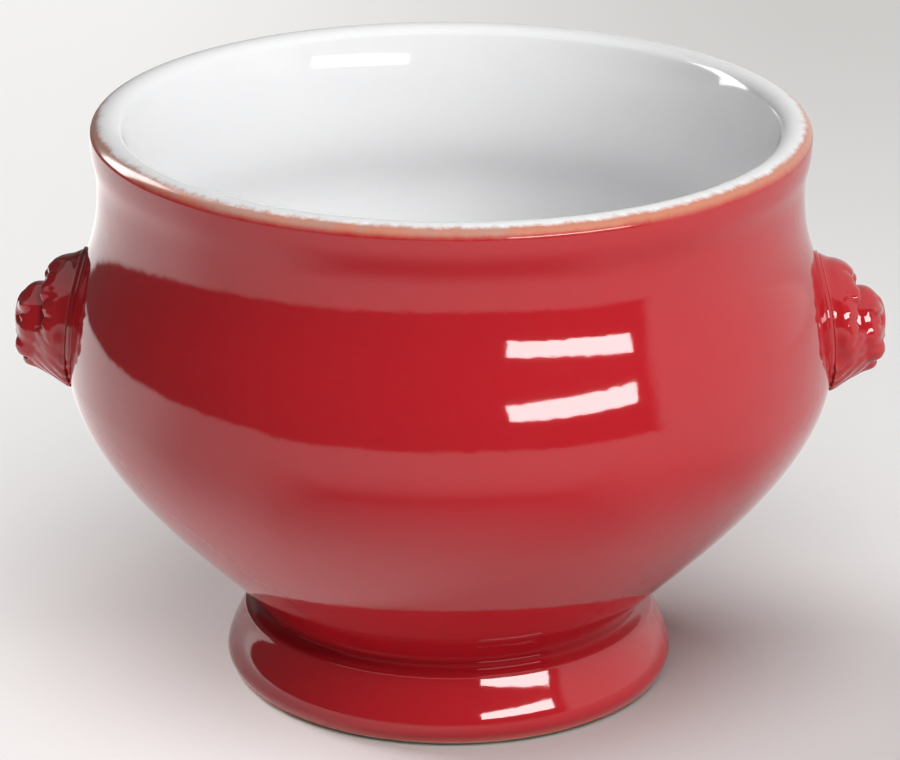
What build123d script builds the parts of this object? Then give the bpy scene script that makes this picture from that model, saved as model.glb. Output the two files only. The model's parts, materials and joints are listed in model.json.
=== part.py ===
# Footed onion soup crock with two lion-head lugs, in millimetres, +Z up.
# The middle of the foot's base is the origin and the lugs sit on the X axis.

from build123d import *

import os

# Driving sizes of the glazed outside
height = 98.0
lip_radius = 60.0
lip_drop = 2.1
throat_radius = 59.0
throat_height = 86.9
belly_radius = 64.4
belly_height = 56.0
waist_radius = 32.8
waist_height = 12.7
ledge_radius = 35.3
ledge_height = 11.2
foot_radius = 38.2
foot_edge_height = 3.2

# Fullness of the curves between those sizes
shoulder_low = 17.4
shoulder_high = 14.2
neck_low = 4.5
neck_high = 4.9
belly_under = 16.6
waist_up = 4.4
waist_lean = 0.7
ledge_ease = (1.0, 0.9)
band_lean = 0.32
ledge_turn = 0.9
band_fall = 2.8
foot_crown = 2.2

# Walls and coats
wall = 5.3
rim_wall = 5.4
floor_thick = 5.2
floor_flat = 29.0
floor_rise = 20.0
glaze = 0.4
slip = 1.0
offset_lift = 0.7

# Foot ring
slip_seat = 0.6
ring_width = 5.2
ring_top_width = 4.8
bare_height = 0.9
bare_bevel = 1.0
glaze_stop_in = 0.8

# Lion head on the shoulder: a dome, the collar of its mane and the slip bed under them
head_along = 0.195
head_lean = 4.3
head_sink = 0.4
dome_half = (4.6, 8.0, 12.0)
collar_out = 2.4
collar_girth = 2.3
collar_half_width = 5.5
collar_half_height = 8.9
seat_margin = 0.2

# Hanging locks, each from a root beside the face to a tip near the wall
lock_girth = 1.3
side_lock = ((4.2, 4.9, -1.2), (1.0, 5.7, -6.6))
cheek_lock = ((4.4, 4.0, -4.4), (1.0, 4.4, -9.0))
jaw_lock = ((4.6, 2.7, -6.2), (1.0, 2.7, -10.4))
chin_lock = ((5.0, 0.0, -6.8), (1.0, 0.0, -10.8))

# Forms of the face, each at a place out from the wall, across and up, with its half sizes
skull_place = (4.6, 0.0, -0.9)
skull_half = (4.75, 5.2, 7.4)
ear_place = (4.6, 3.7, 6.1)
ear_half = (1.1, 1.3, 1.4)
ear_tilt = 34.0
brow_place = (7.4, 2.3, 3.0)
brow_half = (1.3, 2.2, 0.9)
brow_tilt = -18.0
socket_place = (9.2, 2.45, 1.1)
socket_half = (1.6, 1.3, 0.9)
eye_place = (7.7, 2.4, 1.0)
eye_half = (0.8, 1.0, 0.6)
bridge_place = (7.9, 0.0, 0.8)
bridge_half = (1.35, 1.3, 3.6)
nose_place = (8.2, 0.0, -2.3)
nose_half = (1.15, 1.9, 1.0)
pad_place = (6.6, 1.75, -4.2)
pad_half = (2.9, 2.5, 2.5)
chin_place = (6.2, 0.0, -7.0)
chin_half = (1.9, 2.3, 1.5)


# Points and edges in the plane of the profile
def at(radius, level):
    return Vector(radius, 0, level)


def rise(amount):
    return Vector(0, 0, amount)


def turn(edges):
    return revolve(make_face(edges), axis=Axis.Z)


# Outside of the bowl, a given depth under the glazed surface
def outside(depth):
    lift = rise(offset_lift * depth)
    waist = at(waist_radius - depth, waist_height)
    belly = at(belly_radius - depth, belly_height)
    throat = at(throat_radius - depth, throat_height)
    lip = at(lip_radius - depth, height - lip_drop)
    lean = Vector(waist_lean, 0, waist_up)
    under = Bezier(waist, waist + lean + lift, belly - rise(belly_under) + lift, belly)
    shoulder = Bezier(belly, belly + rise(shoulder_low), throat - rise(shoulder_high), throat)
    neck = Bezier(throat, throat + rise(neck_low), lip - rise(neck_high), lip)
    return [under, shoulder, neck]


# Rolled rim, from the outer lip over the top to the inner lip
def rim(depth):
    middle = at(lip_radius - rim_wall / 2, height - lip_drop)
    half = rim_wall / 2 - depth
    crown = lip_drop - depth
    plane = Plane(middle, x_dir=(1, 0, 0), z_dir=(0, -1, 0))
    return plane * EllipticalCenterArc((0, 0), half, crown, 0, arc_size=180)


# Inside of the bowl, from the inner lip down to the middle of the floor
def inside(depth):
    lip = at(lip_radius - rim_wall + depth, height - lip_drop)
    throat = at(throat_radius - wall + depth, throat_height - wall / 2)
    belly = at(belly_radius - wall + depth, belly_height)
    floor = at(0, waist_height + floor_thick - depth)
    flat = Vector(floor_flat, 0, 0)
    neck = Bezier(lip, lip - rise(neck_high), throat + rise(neck_low), throat)
    shoulder = Bezier(throat, throat - rise(shoulder_high), belly + rise(shoulder_low), belly)
    bottom = Bezier(belly, belly - rise(floor_rise), floor + flat, floor)
    return [neck, shoulder, bottom]


# Clay bowl between its two glazes
def bowl_wall():
    skin = outside(glaze) + [rim(glaze)] + inside(glaze)
    floor = at(0, waist_height + floor_thick - glaze)
    under = at(0, waist_height)
    seat = at(waist_radius - glaze, waist_height)
    return turn(skin + [Line(floor, under), Line(under, seat)])


# White liner, inside and over the rim
def inner_glaze():
    face = [rim(0)] + inside(0)
    back = [rim(glaze)] + inside(glaze)
    lip = height - lip_drop
    start = Line(at(lip_radius, lip), at(lip_radius - glaze, lip))
    floor = waist_height + floor_thick
    end = Line(at(0, floor), at(0, floor - glaze))
    return turn(face + back + [start, end])


# Red coat on the outside of the bowl
def outer_glaze():
    lip = height - lip_drop
    top = Line(at(lip_radius, lip), at(lip_radius - glaze, lip))
    low = Line(at(waist_radius, waist_height), at(waist_radius - glaze, waist_height))
    return turn(outside(0) + outside(glaze) + [top, low])


# Outside of the foot, a given depth under the glazed surface: a ledge, a leaning band and the tuck
def foot_side(depth):
    waist = at(waist_radius - depth, waist_height)
    brim = at(ledge_radius - depth, ledge_height - offset_lift * depth)
    edge = at(foot_radius - depth, foot_edge_height)
    stop = at(foot_radius - glaze_stop_in - depth, bare_height)
    lean = Vector(-band_lean, 0, 1)
    ledge = Bezier(waist, waist + Vector(ledge_ease[0], 0, -ledge_ease[1]), brim + lean * ledge_turn, brim)
    band = Bezier(brim, brim - lean * band_fall, edge + rise(foot_crown), edge)
    tuck = Bezier(edge, edge - rise(foot_edge_height / 3), stop + rise(bare_height / 2), stop)
    return [ledge, band, tuck]


# Whole clay foot before the slip joint is parted from it
def foot_blank():
    stop_radius = foot_radius - glaze_stop_in - glaze
    stop = at(stop_radius, bare_height)
    rest_out = at(stop_radius - bare_bevel, 0)
    rest_in = at(foot_radius - ring_width - bare_bevel, 0)
    seat = at(waist_radius - glaze, waist_height)
    recess = at(waist_radius - glaze - ring_top_width, waist_height)
    lines = [Line(stop, rest_out), Line(rest_out, rest_in), Line(rest_in, recess), Line(recess, seat)]
    return turn(foot_side(glaze) + lines)


def foot_glaze():
    top = Line(at(waist_radius, waist_height), at(waist_radius - glaze, waist_height))
    stop = foot_radius - glaze_stop_in
    low = Line(at(stop, bare_height), at(stop - glaze, bare_height))
    return turn(foot_side(0) + foot_side(glaze) + [top, low])


# Solid block that fills the outside of the bowl, grown or shrunk by a depth
def bowl_block(depth):
    lip = height - lip_drop
    top = Line(at(lip_radius - depth, lip), at(0, lip))
    axis = Line(at(0, lip), at(0, waist_height))
    low = Line(at(0, waist_height), at(waist_radius - depth, waist_height))
    return turn(outside(depth) + [top, axis, low])


# Place on the shoulder where a head is luted
anchor = outside(0)[1] @ head_along


# Place on the head, out from the wall, across to one side and up
def spot(place, side=1):
    out, across, up = place
    return Vector(anchor.X + out, side * across, anchor.Z + up)


# Moulded form on the face, on one side or the other
def form(place, half, tilt=0.0, side=1):
    return Pos(spot(place, side)) * Rot(-side * tilt, 0, 0) * scale(Sphere(1), by=half)


def pair(place, half, tilt=0.0):
    return [form(place, half, tilt, side) for side in (-1, 1)]


# Lock of hair: a long drop turned about the line from its root to its tip
def lock(ends, side=1):
    root = spot(ends[0], side)
    tip = spot(ends[1], side)
    run = tip - root
    half_length = run.length / 2 + lock_girth
    arc = EllipticalCenterArc((0, 0, 0), half_length, lock_girth, 0, arc_size=180)
    flat = Line((-half_length, 0, 0), (half_length, 0, 0))
    drop = revolve(make_face([arc, flat]), axis=Axis.X)
    return Plane((root + tip) / 2, x_dir=run, z_dir=run.cross(Vector(0, 1, 0))) * drop


# Dome and collar of the mane, leaning back with the wall
def mane():
    seat = Pos(anchor.X - head_sink, 0, anchor.Z) * Rot(0, -head_lean, 0)
    dome = seat * scale(Sphere(1), by=dome_half)
    ring = Plane((collar_out, 0, 0), x_dir=(0, 1, 0), z_dir=(1, 0, 0))
    path = ring * Ellipse(collar_half_width, collar_half_height).wire()
    girth = Plane(path @ 0, z_dir=path % 0) * Circle(collar_girth)
    locks = [lock(ends, side) for ends in (side_lock, cheek_lock, jaw_lock) for side in (-1, 1)]
    return [dome, seat * sweep(girth, path), lock(chin_lock)] + locks


def face():
    middle = [form(bridge_place, bridge_half), form(nose_place, nose_half), form(chin_place, chin_half)]
    sides = pair(ear_place, ear_half, ear_tilt) + pair(brow_place, brow_half, brow_tilt)
    return middle + sides + pair(pad_place, pad_half)


def lion_head():
    skull = form(skull_place, skull_half)
    moulded = skull.fuse(*mane(), *face()).cut(*pair(socket_place, socket_half))
    return moulded.fuse(*pair(eye_place, eye_half)) - bowl_block(glaze - slip)


# Outline of the slip bed on the wall, pushed through the whole wall
def seat_prism():
    place = Plane((0, 0, anchor.Z), x_dir=(0, 1, 0), z_dir=(1, 0, 0))
    half_width = dome_half[1] + seat_margin
    half_height = dome_half[2] + seat_margin
    return extrude(place * Ellipse(half_width, half_height), 2 * belly_radius)


def other_side(shape):
    return Rot(0, 0, 180) * shape


# Parts
prism = seat_prism()
bed = (bowl_block(glaze - slip) - bowl_block(glaze)) & prism
head = lion_head()
blank = foot_blank()
slab = Pos(0, 0, waist_height - slip_seat / 2) * Cylinder(belly_radius, slip_seat)

parts = {
    "bowl_wall": bowl_wall(),
    "pedestal_foot": blank - slab,
    "foot_luting_slip": blank & slab,
    "inner_white_glaze": inner_glaze(),
    "outer_red_glaze": outer_glaze() - prism - other_side(prism),
    "foot_red_glaze": foot_glaze(),
    "right_luting_slip": bed,
    "left_luting_slip": other_side(bed),
    "lion_head_right": head,
    "lion_head_left": other_side(head),
}

os.makedirs("parts", exist_ok=True)
for name, shape in parts.items():
    export_step(shape, f"parts/{name}.step")
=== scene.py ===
"""Looks of a footed onion soup crock: red glaze outside, white liner, two lion-head lugs."""

import json
import logging
import math
from dataclasses import dataclass, field
from enum import Enum
from typing import Any, Callable, Optional, Union

import bpy
import numpy as np
from mathutils import Matrix, Vector

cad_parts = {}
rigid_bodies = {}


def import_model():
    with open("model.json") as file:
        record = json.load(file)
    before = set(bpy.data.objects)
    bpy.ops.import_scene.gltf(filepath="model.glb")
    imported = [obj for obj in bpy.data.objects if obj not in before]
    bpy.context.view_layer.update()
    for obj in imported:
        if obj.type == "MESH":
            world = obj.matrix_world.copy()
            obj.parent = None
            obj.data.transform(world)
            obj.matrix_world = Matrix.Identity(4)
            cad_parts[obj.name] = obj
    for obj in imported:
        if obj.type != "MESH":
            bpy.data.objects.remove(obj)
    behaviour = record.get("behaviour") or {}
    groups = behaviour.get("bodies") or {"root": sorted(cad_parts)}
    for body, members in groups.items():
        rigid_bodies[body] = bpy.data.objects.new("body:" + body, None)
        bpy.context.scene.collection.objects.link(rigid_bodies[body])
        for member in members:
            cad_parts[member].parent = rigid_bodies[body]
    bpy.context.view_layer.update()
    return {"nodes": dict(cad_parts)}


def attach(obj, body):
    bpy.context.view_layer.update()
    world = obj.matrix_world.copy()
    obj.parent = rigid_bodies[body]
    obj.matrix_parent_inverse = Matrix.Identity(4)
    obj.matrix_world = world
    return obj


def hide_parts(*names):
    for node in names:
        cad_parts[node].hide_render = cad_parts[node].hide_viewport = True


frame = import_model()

ROOT = "root"
# A millimetre, and how near points are merged, in metres
MM = 0.001
WELD = 2e-6
LOG = logging.getLogger("crock")

Colour = tuple[float, float, float]
Point = tuple[float, float, float]
Span = tuple[float, float]
Value = Union["Wire", float, int, bool, str, tuple, bpy.types.ID]


class Side(Enum):
    """The two sides of the crock, by the sign of X."""

    RIGHT = 1
    LEFT = -1


class Wire:
    """A node's output socket that can stand in Python expressions on values."""

    def __init__(self, graph: "Graph", socket: bpy.types.NodeSocket) -> None:
        """Keeps the socket and the graph that it belongs to."""
        self.graph = graph
        self.socket = socket

    def other(self, key: Union[str, int]) -> "Wire":
        """Gives another output of the same node."""
        return Wire(self.graph, Graph.find(self.socket.node.outputs, key))

    def math(self, operation: str, second: Value = 0.0) -> "Wire":
        """Adds a Math node with this value first."""
        return self.graph.math(operation, self, second)

    def __add__(self, other: Value) -> "Wire":
        """Sum of two values."""
        return self.graph.math("ADD", self, other)

    def __radd__(self, other: Value) -> "Wire":
        """Sum of two values."""
        return self.graph.math("ADD", other, self)

    def __sub__(self, other: Value) -> "Wire":
        """Difference of two values."""
        return self.graph.math("SUBTRACT", self, other)

    def __rsub__(self, other: Value) -> "Wire":
        """Difference of two values."""
        return self.graph.math("SUBTRACT", other, self)

    def __mul__(self, other: Value) -> "Wire":
        """Product of two values."""
        return self.graph.math("MULTIPLY", self, other)

    def __rmul__(self, other: Value) -> "Wire":
        """Product of two values."""
        return self.graph.math("MULTIPLY", other, self)

    def __truediv__(self, other: Value) -> "Wire":
        """Quotient of two values."""
        return self.graph.math("DIVIDE", self, other)

    def __rtruediv__(self, other: Value) -> "Wire":
        """Quotient of two values."""
        return self.graph.math("DIVIDE", other, self)

    def held(self) -> "Wire":
        """Keeps the value between 0 and 1."""
        return self.math("MAXIMUM", 0.0).math("MINIMUM", 1.0)

    def ramp(self, low: Value, high: Value) -> "Wire":
        """Smooth step from 0 to 1.

        Args:
            low: The value that gives 0.
            high: The value that gives 1, which may be the smaller one.

        Returns:
            The step, held at 0 and 1 outside its range.
        """
        settings = {"interpolation_type": "SMOOTHSTEP"}
        inputs = {"Value": self, "From Min": low, "From Max": high, "To Min": 0.0, "To Max": 1.0}
        return self.graph.node("ShaderNodeMapRange", settings, inputs)

    def bump_at(self, middle: float, half: float) -> "Wire":
        """Smooth hill of height 1 round a middle value, with a given half width."""
        return 1.0 - self.math("SUBTRACT", middle).math("ABSOLUTE").ramp(0.0, half)


class Graph:
    """A node tree that is filled from Python."""

    def __init__(self, tree: bpy.types.NodeTree) -> None:
        """Keeps the tree."""
        self.tree = tree

    @staticmethod
    def find(sockets: Any, key: Union[str, int]) -> bpy.types.NodeSocket:
        """Finds a socket by its place, its identifier or its name.

        Args:
            sockets: The inputs or outputs of a node.
            key: A place in the list, an identifier or a name.

        Returns:
            The socket.
        """
        if isinstance(key, int):
            return sockets[key]
        for socket in sockets:
            if socket.identifier == key:
                return socket
        return sockets[key]

    def node(
        self,
        kind: str,
        settings: Optional[dict] = None,
        inputs: Optional[dict] = None,
        out: Union[str, int] = 0,
    ) -> Wire:
        """Adds a node.

        Args:
            kind: The node's type.
            settings: Its properties, set first.
            inputs: Values or wires by socket.
            out: The output to give back.

        Returns:
            The chosen output.
        """
        made = self.tree.nodes.new(kind)
        for name, value in (settings or {}).items():
            setattr(made, name, value)
        for key, value in (inputs or {}).items():
            socket = self.find(made.inputs, key)
            if isinstance(value, Wire):
                self.tree.links.new(value.socket, socket)
            else:
                socket.default_value = value
        return Wire(self, self.find(made.outputs, out)) if made.outputs else Wire(self, made.inputs[0])

    def math(self, operation: str, first: Value, second: Value = 0.0) -> Wire:
        """Adds a Math node on one or two values."""
        return self.node("ShaderNodeMath", {"operation": operation}, {0: first, 1: second})

    def vector(self, operation: str, first: Value, second: Value) -> Wire:
        """Adds a Vector Math node on two vectors."""
        return self.node("ShaderNodeVectorMath", {"operation": operation}, {0: first, 1: second})

    def scaled(self, vector: Value, factor: Value) -> Wire:
        """Scales a vector by a value."""
        return self.node("ShaderNodeVectorMath", {"operation": "SCALE"}, {0: vector, "Scale": factor})

    def blend(self, factor: Value, first: Value, second: Value) -> Wire:
        """Mixes two colours.

        Args:
            factor: 0 gives the first colour and 1 the second.
            first: A colour or a wire.
            second: A colour or a wire.

        Returns:
            The mixed colour.
        """
        colours = [c if isinstance(c, Wire) else (*c, 1.0) for c in (first, second)]
        inputs = {"Factor_Float": factor, "A_Color": colours[0], "B_Color": colours[1]}
        return self.node("ShaderNodeMix", {"data_type": "RGBA"}, inputs, "Result_Color")

    def noise(self, place: Value, grain: "Noise") -> Wire:
        """Adds a noise texture with values round one half."""
        inputs = {"Vector": place, "Scale": grain.scale, "Detail": grain.detail, "Roughness": grain.rough}
        return self.node("ShaderNodeTexNoise", None, inputs)

    def place(self) -> Wire:
        """Gives the place on the object, in metres."""
        return self.node("ShaderNodeTexCoord", None, None, "Object")

    def split(self, vector: Value) -> tuple[Wire, Wire, Wire]:
        """Parts a vector into its three values."""
        first = self.node("ShaderNodeSeparateXYZ", None, {0: vector})
        return first, first.other("Y"), first.other("Z")

    def joined(self, across: Value, along: Value, up: Value) -> Wire:
        """Makes a vector of three values."""
        return self.node("ShaderNodeCombineXYZ", None, {0: across, 1: along, 2: up})

    def from_axis(self, across: Wire, along: Wire) -> Wire:
        """Distance from the upright axis."""
        return (across * across + along * along).math("SQRT")

    def glow(self, colour: Value) -> Wire:
        """Adds a shader that shows a colour as it is."""
        return self.node("ShaderNodeEmission", None, {"Color": colour, "Strength": 1.0})

    def mixed(self, share: Value, first: Wire, second: Wire) -> Wire:
        """Mixes two shaders."""
        return self.node("ShaderNodeMixShader", None, {0: share, 1: first, 2: second})

    def attribute(self, name: str) -> Wire:
        """Reads a value that the mesh carries."""
        return self.node("ShaderNodeAttribute", {"attribute_name": name}, None, "Fac")


@dataclass(frozen=True)
class Noise:
    """Settings of a noise texture: waves to a metre, how many finer layers, and their strength."""

    scale: float
    detail: float
    rough: float


class Finish:
    """A material made of nodes."""

    def __init__(self, name: str) -> None:
        """Starts an empty material.

        Args:
            name: The material's name.
        """
        self.material = bpy.data.materials.new(name)
        self.material.use_nodes = True
        self.material.node_tree.nodes.clear()
        self.graph = Graph(self.material.node_tree)

    def end(self, surface: Wire) -> bpy.types.Material:
        """Adds the output and gives the finished material."""
        self.graph.node("ShaderNodeOutputMaterial", None, {"Surface": surface})
        return self.material

    def close(self, sockets: dict, height: Wire, depth: float) -> bpy.types.Material:
        """Adds a Principled shader, its bump and the output.

        Args:
            sockets: Values or wires for the shader.
            height: Height of the fine relief, from 0 to 1.
            depth: How deep that relief is, in metres.

        Returns:
            The finished material.
        """
        relief = {"Strength": 1.0, "Distance": depth, "Height": height}
        normal = self.graph.node("ShaderNodeBump", None, relief)
        inputs = {**sockets, "Normal": normal}
        return self.end(self.graph.node("ShaderNodeBsdfPrincipled", None, inputs))


@dataclass(frozen=True)
class RimBreak:
    """Where the glazes meet on the outer edge of the rim: a thin ragged line of bare brown.

    Levels and widths are in millimetres.
    """

    lip_level: float = 95.9
    white_from: float = 1.80
    white_edge: float = 0.26
    band: float = 1.9
    band_edge: float = 1.5
    slow: Noise = Noise(70.0, 3.0, 0.6)
    slow_wander: float = 0.45
    quick: Noise = Noise(600.0, 3.0, 0.65)
    quick_wander: float = 0.65
    patch: Noise = Noise(130.0, 3.0, 0.6)
    patch_lean: float = 3.0
    patch_start: float = 0.12
    patch_edges: Span = (0.36, 0.64)
    brown: Colour = (0.46, 0.24, 0.185)
    orange: Colour = (0.53, 0.20, 0.125)

    def height(self, graph: Graph, place: Wire) -> Wire:
        """Height over the lip, wandering as a poured glaze does.

        Args:
            graph: The material's graph.
            place: The place on the object.

        Returns:
            The height in millimetres.
        """
        level = graph.split(place)[2] / MM - self.lip_level
        slow = graph.noise(place, self.slow) - 0.5
        quick = graph.noise(place, self.quick) - 0.5
        return level + slow * self.slow_wander + quick * self.quick_wander

    def tint(self, graph: Graph, place: Wire, red: Value, white: Value) -> tuple[Wire, Wire]:
        """Red below, the brown line, and white above it.

        Args:
            graph: The material's graph.
            place: The place on the object.
            red: Colour of the red glaze there.
            white: Colour of the white glaze there.

        Returns:
            The colour, and how much of it is the bare line.
        """
        over = self.height(graph, place)
        bare_from = self.white_from - self.band
        bare = over.ramp(bare_from, bare_from + self.band_edge)
        pale = over.ramp(self.white_from - self.white_edge, self.white_from + self.white_edge)
        patch = graph.noise(place, self.patch) + graph.split(place)[0] * self.patch_lean + self.patch_start
        line = graph.blend(patch.ramp(*self.patch_edges), self.brown, self.orange)
        colour = graph.blend(pale, graph.blend(bare, red, line), white)
        return colour, bare * (1.0 - pale)


@dataclass(frozen=True)
class RedGlaze:
    """Deep red gloss glaze that thins on edges and pools in hollows; the paler colour on the heads' ridges
    is also painted sheen.

    Levels and depths are in millimetres, and other sizes are shares of the effect.
    """

    body: Colour = (0.42, 0.0100, 0.0165)
    deep: Colour = (0.30, 0.0060, 0.0110)
    # Paler pink where the glaze is thin; on the heads' ridges it is also painted sheen
    thin: Colour = (0.50, 0.085, 0.070)
    ior: float = 1.6
    rough: float = 0.055
    mottle_rough: float = 0.03
    bare_rough: float = 0.10
    wave: Noise = Noise(42.0, 1.0, 0.4)
    wave_depth: float = 0.20
    ripple: Noise = Noise(210.0, 2.0, 0.5)
    ripple_share: float = 0.12
    mottle_share: float = 0.03
    cloud: Noise = Noise(38.0, 3.0, 0.55)
    cloud_pool: float = 0.35
    mottle: Noise = Noise(420.0, 3.0, 0.6)
    mottle_pool: float = 0.16
    mottle_thin: float = 0.12
    waist_level: float = 12.7
    waist_reach: float = 3.2
    waist_pool: float = 0.75
    hollow: Span = (0.05, 0.8)
    ridge: Span = (0.02, 0.7)
    ridge_thin_and_sheen: float = 0.85
    stop_level: float = 0.9
    stop_reach: float = 1.3
    rim: RimBreak = field(default_factory=RimBreak)

    def build(self, name: str) -> bpy.types.Material:
        """Makes the material.

        Args:
            name: The material's name.

        Returns:
            The red glaze, for the turned coats, the heads and the slip beds.
        """
        finish = Finish(name)
        graph = finish.graph
        place = graph.place()
        level = graph.split(place)[2] / MM
        cloud = graph.noise(place, self.cloud) - 0.5
        mottle = graph.noise(place, self.mottle)
        uneven = mottle - 0.5
        relief = graph.attribute("relief")

        pool = level.bump_at(self.waist_level, self.waist_reach) * self.waist_pool
        pool = pool.math("MAXIMUM", (relief * -1.0).ramp(*self.hollow))
        pool = pool + cloud * self.cloud_pool + uneven * self.mottle_pool
        # Paler on the heads' ridges: thinner glaze there, together with painted sheen
        thin = relief.ramp(*self.ridge) * self.ridge_thin_and_sheen
        thin = thin.math("MAXIMUM", 1.0 - level.ramp(self.stop_level, self.stop_level + self.stop_reach))
        thin = thin + uneven * self.mottle_thin

        colour = graph.blend(pool.held(), self.body, self.deep)
        colour = graph.blend(thin.held(), colour, self.thin)
        colour, bare = self.rim.tint(graph, place, colour, WhiteGlaze.body)

        rough = self.rough + uneven * self.mottle_rough + bare * self.bare_rough
        skin = graph.noise(place, self.wave) + graph.noise(place, self.ripple) * self.ripple_share
        skin = skin + mottle * self.mottle_share
        sockets = {"Base Color": colour, "Roughness": rough, "IOR": self.ior}
        return finish.close(sockets, skin, self.wave_depth * MM)


@dataclass(frozen=True)
class WhiteGlaze:
    """Cool white liner glaze, carried over the rim.

    Levels, radii and depths are in millimetres, and other sizes are shares of the effect.
    """

    body: Colour = (0.86, 0.86, 0.865)
    grey: Colour = (0.80, 0.803, 0.815)
    ior: float = 1.5
    rough: float = 0.075
    fleck_rough: float = 0.04
    bare_rough: float = 0.12
    cloud: Noise = Noise(45.0, 3.0, 0.55)
    cloud_tone: float = 0.9
    fleck: Noise = Noise(700.0, 3.0, 0.6)
    fleck_tone: float = 0.25
    tone: float = 0.3
    skin: Noise = Noise(190.0, 2.0, 0.5)
    skin_depth: float = 0.010
    edge_radius: Span = (57.2, 57.4)
    edge_level: Span = (94.0, 95.0)
    rim: RimBreak = field(default_factory=RimBreak)

    def build(self, name: str) -> bpy.types.Material:
        """Makes the material.

        Args:
            name: The material's name.

        Returns:
            The white glaze, with the ragged line at the rim's outer edge.
        """
        finish = Finish(name)
        graph = finish.graph
        place = graph.place()
        across, along, level = graph.split(place)
        radius = graph.from_axis(across, along) / MM
        cloud = graph.noise(place, self.cloud) - 0.5
        fleck = graph.noise(place, self.fleck) - 0.5
        tone = cloud * self.cloud_tone + fleck * self.fleck_tone + self.tone
        colour = graph.blend(tone.held(), self.body, self.grey)
        outer = radius.ramp(*self.edge_radius) * (level / MM).ramp(*self.edge_level)
        edge, bare = self.rim.tint(graph, place, RedGlaze.body, colour)
        colour = graph.blend(outer, colour, edge)
        rough = self.rough + fleck * self.fleck_rough + bare * outer * self.bare_rough
        sockets = {"Base Color": colour, "Roughness": rough, "IOR": self.ior}
        return finish.close(sockets, graph.noise(place, self.skin), self.skin_depth * MM)


@dataclass(frozen=True)
class Stoneware:
    """Bare fired clay, buff with fine grog. The depth of its grain is in millimetres."""

    body: Colour = (0.60, 0.47, 0.33)
    dark: Colour = (0.40, 0.28, 0.18)
    pale: Colour = (0.72, 0.62, 0.48)
    cloud: Noise = Noise(60.0, 4.0, 0.6)
    cloud_edges: Span = (0.3, 0.7)
    grog_scale: float = 900.0
    grog_edges: Span = (0.05, 0.2)
    grog_tone: float = 0.55
    grain: Noise = Noise(1500.0, 3.0, 0.7)
    grain_depth: float = 0.05
    grain_rough: float = 0.2
    rough: float = 0.72

    def build(self, name: str) -> bpy.types.Material:
        """Makes the material.

        Args:
            name: The material's name.

        Returns:
            The bare clay, matt and a little gritty.
        """
        finish = Finish(name)
        graph = finish.graph
        place = graph.place()
        cloud = graph.noise(place, self.cloud)
        grain = graph.noise(place, self.grain)
        cells = {"Vector": place, "Scale": self.grog_scale}
        grog = graph.node("ShaderNodeTexVoronoi", None, cells, "Distance")
        colour = graph.blend(cloud.ramp(*self.cloud_edges), self.body, self.pale)
        colour = graph.blend((1.0 - grog.ramp(*self.grog_edges)) * self.grog_tone, colour, self.dark)
        rough = self.rough + (grain - 0.5) * self.grain_rough
        return finish.close({"Base Color": colour, "Roughness": rough}, grain, self.grain_depth * MM)


def smoothstep(share: np.ndarray) -> np.ndarray:
    """Eases a share between 0 and 1, held there outside that range."""
    share = np.clip(share, 0.0, 1.0)
    return share * share * (3.0 - 2.0 * share)


def lifted(point: Span, rise: float, out: float = 0.0) -> Span:
    """Moves a profile point up, and out from the axis."""
    return point[0] + out, point[1] + rise


def chain(*runs: np.ndarray) -> np.ndarray:
    """Joins runs of samples that share their end points."""
    return np.concatenate([runs[0], *(run[1:] for run in runs[1:])])


def bezier(points: list[Span], count: int) -> np.ndarray:
    """Samples a cubic curve.

    Args:
        points: Its four control points, radius and level.
        count: How many samples, both ends included.

    Returns:
        The samples, one row each.
    """
    share = np.linspace(0.0, 1.0, count)[:, None]
    back = 1.0 - share
    first, second, third, last = (np.array(p, float) for p in points)
    return back**3 * first + 3 * back**2 * share * second + 3 * back * share**2 * third + share**3 * last


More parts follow.
